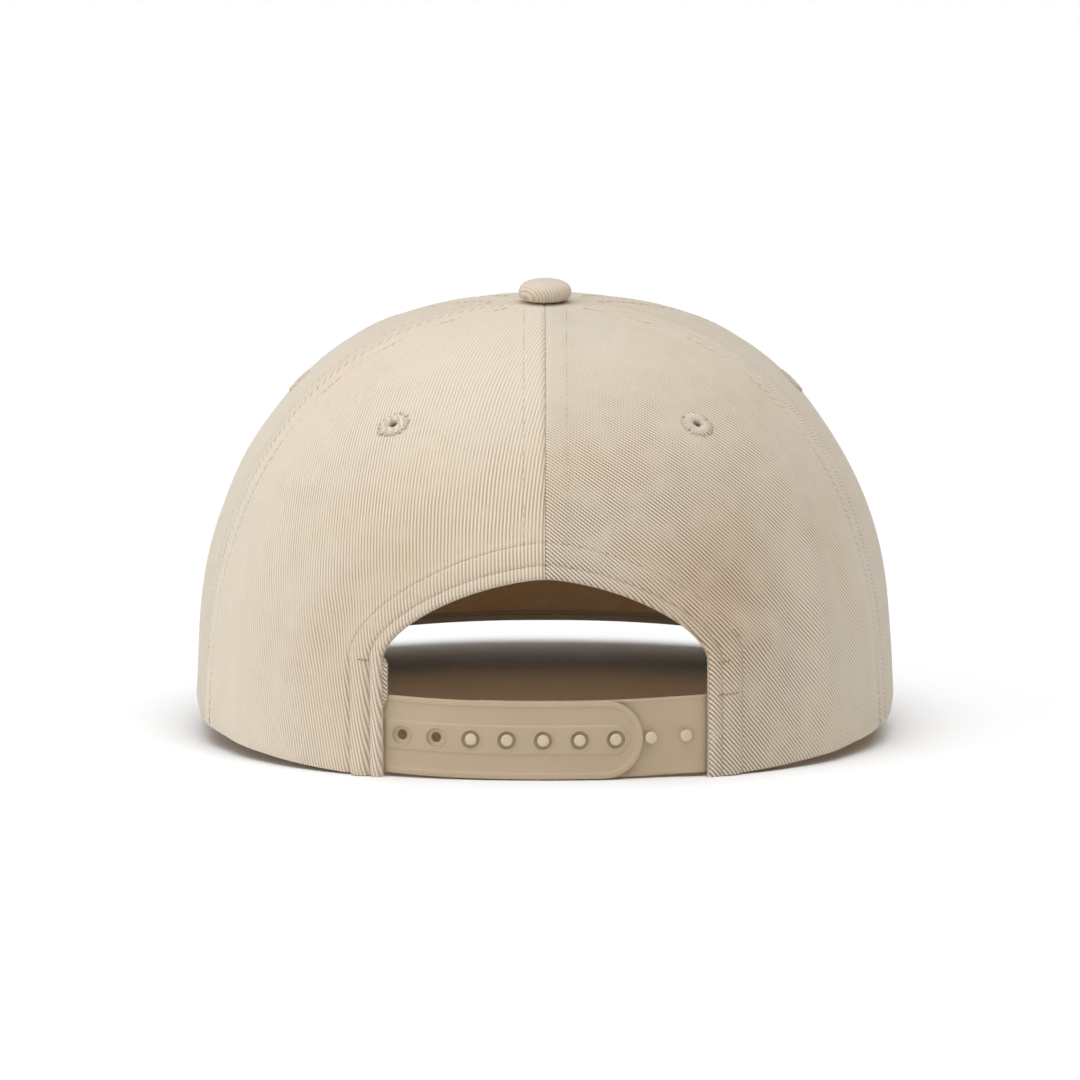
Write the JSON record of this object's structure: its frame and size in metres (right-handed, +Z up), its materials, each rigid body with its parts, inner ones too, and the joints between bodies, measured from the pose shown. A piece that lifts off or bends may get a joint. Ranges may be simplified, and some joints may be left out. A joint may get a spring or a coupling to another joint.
{
  "type": "baseball cap",
  "caption": "Baseball cap with a sewn panel crown, a curved visor, an arched rear opening and a plastic snap strap whose two halves swing apart.",
  "frame": {"origin": "bottom centre of the part's box, on the level surface that the cap stands on", "axes": "+Z up, -Y forwards along the visor, +Y to the rear opening and strap, +X to the wearer's left"},
  "size_m": [0.184, 0.2628, 0.1185],
  "materials": {
    "twill": "matte beige cotton twill",
    "sweat_cloth": "matte beige cotton, folded and padded",
    "tape": "matte beige cotton tape",
    "thread": "beige polyester thread with a slight sheen",
    "buckram": "stiff off-white open-weave buckram",
    "board": "dark moulded polyethylene board",
    "strap_plastic": "satin beige moulded plastic",
    "metal": "plain pressed aluminium"
  },
  "bodies": {
    "crown": {"rear_left_panel": "twill", "rear_left_eyelet": "thread", "side_left_panel": "twill", "side_left_eyelet": "thread", "front_left_panel": "twill", "front_left_eyelet": "thread", "front_left_buckram": "buckram", "rear_right_panel": "twill", "rear_right_eyelet": "thread", "side_right_panel": "twill", "side_right_eyelet": "thread", "front_right_panel": "twill", "front_right_eyelet": "thread", "front_right_buckram": "buckram", "rear_centre_seam_tape": "tape", "rear_left_seam_tape": "tape", "front_left_seam_tape": "tape", "front_centre_seam_tape": "tape", "front_right_seam_tape": "tape", "rear_right_seam_tape": "tape", "sweatband": "sweat_cloth", "opening_facing": "tape", "button_cover": "twill", "button_shell": "metal", "button_post": "metal", "button_washer": "metal", "visor_top_cover": "twill", "visor_under_cover": "twill", "visor_board": "board", "hole_strap_tab": "strap_plastic", "peg_strap_tab": "strap_plastic"},
    "hole_strap": {"hole_strap": "strap_plastic"},
    "peg_strap": {"peg_strap": "strap_plastic"}
  },
  "joints": [
    {"name": "hole_strap_swing", "type": "hinge", "parent": "crown", "child": "hole_strap", "pos_m": [0.03938, 0.12375, 0.01074], "axis": [0.0007, -0.0054, -1], "range_deg": [0, 90], "stiffness_Nm_per_rad": 0.017},
    {"name": "peg_strap_swing", "type": "hinge", "parent": "crown", "child": "peg_strap", "pos_m": [-0.0389, 0.12265, 0.01075], "axis": [-0.0011, -0.0056, -1], "range_deg": [0, 60], "stiffness_Nm_per_rad": 0.017}
  ]
}
